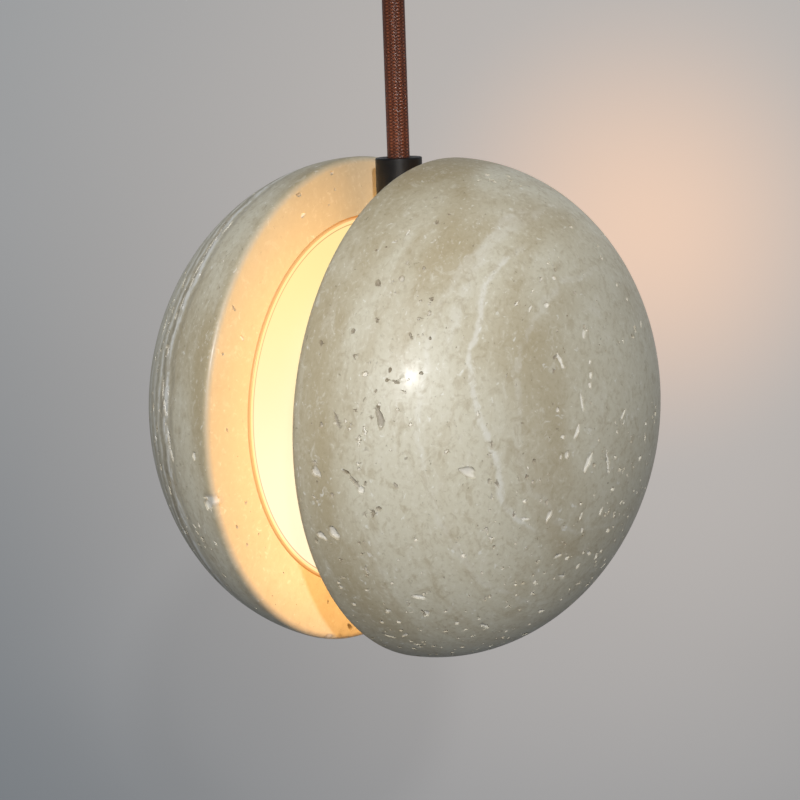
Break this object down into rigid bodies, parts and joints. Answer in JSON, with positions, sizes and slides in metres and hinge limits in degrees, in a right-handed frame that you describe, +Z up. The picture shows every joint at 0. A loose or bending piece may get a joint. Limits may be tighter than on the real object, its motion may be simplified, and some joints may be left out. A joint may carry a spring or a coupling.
{
  "type": "globe pendant light",
  "caption": "Globe pendant light: domed travertine halves on a cross rod with lit opal discs facing each other across a gap, hung on a braided cord from a round ceiling cup.",
  "frame": {"origin": "centre of the ceiling bracket's top face, on the ceiling", "axes": "+Z up, +X along the cross rod from the left half to the right half, -Y to the front"},
  "size_m": [0.15, 0.15, 0.2419],
  "materials": {
    "stone": "honed travertine, filled, with open pits",
    "opal_acrylic": "opal, lit from behind",
    "silicone": "matte",
    "board_white": "white solder mask",
    "led_yellow": "phosphor under clear resin",
    "screw_steel": "plain",
    "plate_aluminium": "turned",
    "insert_brass": "turned",
    "collar_aluminium": "turned",
    "zinc_steel": "zinc plated",
    "lead_white": "smooth",
    "black_paint": "satin powder coat",
    "black_nylon": "moulded",
    "screw_black": "black oxide",
    "cord_braid": "braided textile",
    "core_brown": "smooth",
    "cup_black": "satin powder coat",
    "terminal_plastic": "moulded",
    "earth_green": "smooth",
    "driver_plastic": "moulded",
    "pad_foam": "foam"
  },
  "bodies": {
    "ceiling": {"cord_tail": "cord_braid", "cord_cores": "core_brown", "cord_outlet": "black_nylon", "outlet_nut": "black_nylon", "ceiling_cup": "cup_black", "cup_screws": "screw_black", "ceiling_bracket": "zinc_steel", "terminal_block": "terminal_plastic", "terminal_screws": "zinc_steel", "earth_tag": "zinc_steel", "earth_screw": "insert_brass", "earth_wire": "earth_green", "supply_wires": "core_brown", "led_driver": "driver_plastic", "driver_pad": "pad_foam"},
    "cord": {"cord": "cord_braid"},
    "lamp": {"left_stone_shell": "stone", "left_diffuser": "opal_acrylic", "left_diffuser_washer": "silicone", "left_led_board": "board_white", "left_leds": "led_yellow", "left_board_screws": "screw_steel", "left_back_plate": "plate_aluminium", "left_plate_screws": "screw_steel", "left_stone_inserts": "insert_brass", "left_spacer_collar": "collar_aluminium", "left_lock_nut": "zinc_steel", "left_leads": "lead_white", "right_stone_shell": "stone", "right_diffuser": "opal_acrylic", "right_diffuser_washer": "silicone", "right_led_board": "board_white", "right_leds": "led_yellow", "right_board_screws": "screw_steel", "right_back_plate": "plate_aluminium", "right_plate_screws": "screw_steel", "right_stone_inserts": "insert_brass", "right_spacer_collar": "collar_aluminium", "right_lock_nut": "zinc_steel", "right_leads": "lead_white", "hub": "black_paint", "hub_grub_screw": "screw_black", "cross_rod": "zinc_steel", "stem": "black_paint", "cord_grip": "black_nylon", "cord_grip_screw": "screw_black"}
  },
  "joints": [
    {"name": "lamp_swing", "type": "hinge", "parent": "ceiling", "child": "cord", "pos_m": [0, 0, -0.033], "axis": [0, 1, 0], "range_deg": [-20, 20]},
    {"name": "lamp_turn", "type": "hinge", "parent": "cord", "child": "lamp", "pos_m": [0, 0, -0.167], "axis": [0, 0, 1], "range_deg": [-180, 180]}
  ]
}
